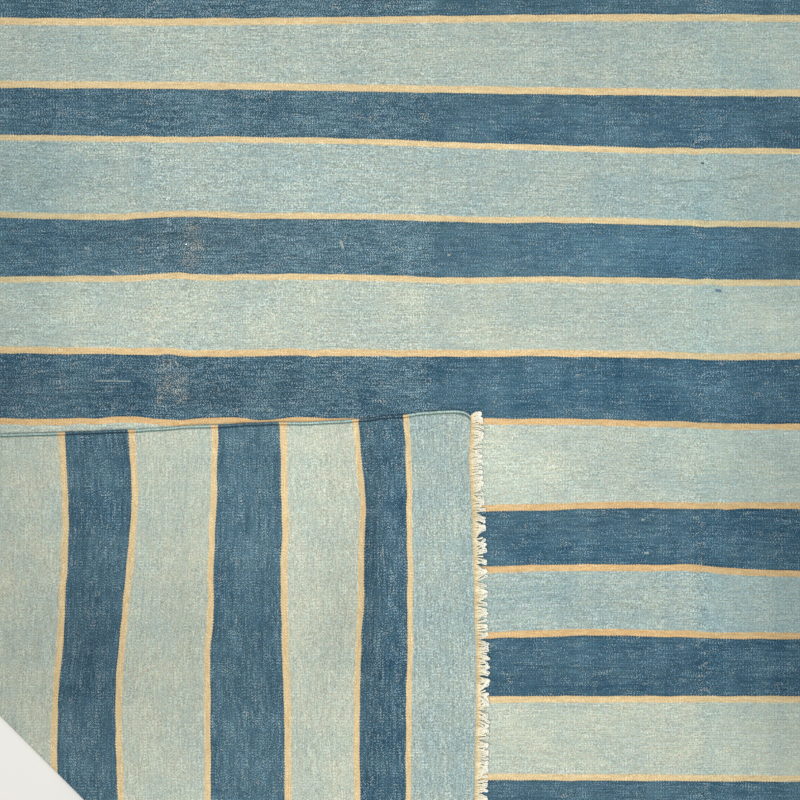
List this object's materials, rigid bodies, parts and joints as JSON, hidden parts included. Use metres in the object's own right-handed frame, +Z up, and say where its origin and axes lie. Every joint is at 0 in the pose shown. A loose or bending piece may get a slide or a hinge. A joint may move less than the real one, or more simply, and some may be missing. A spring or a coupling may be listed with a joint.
{
  "type": "dhurrie rug",
  "caption": "Flat-woven cotton dhurrie rug with wide weft stripes, corded selvedges and looped warp fringes, lying flat with one corner folded over.",
  "frame": {"origin": "on the floor, under the middle of the rug's bounding rectangle", "axes": "+X across the rug along the weft stripes, +Y along the warp from the end with the folded corner to the other end, +Z up out of the floor"},
  "size_m": [2.44, 3.09, 0.0162],
  "materials": {
    "woven_cotton": "matt weft-faced cotton weave, pale duck-egg and indigo stripes with narrow tan lines, faded and worn",
    "warp_cotton": "matt ecru cotton yarn in loose twisted loops"
  },
  "bodies": {
    "root": {"rug_cloth": "woven_cotton", "fringe_near_end": "warp_cotton", "fringe_far_end": "warp_cotton"}
  },
  "joints": []
}
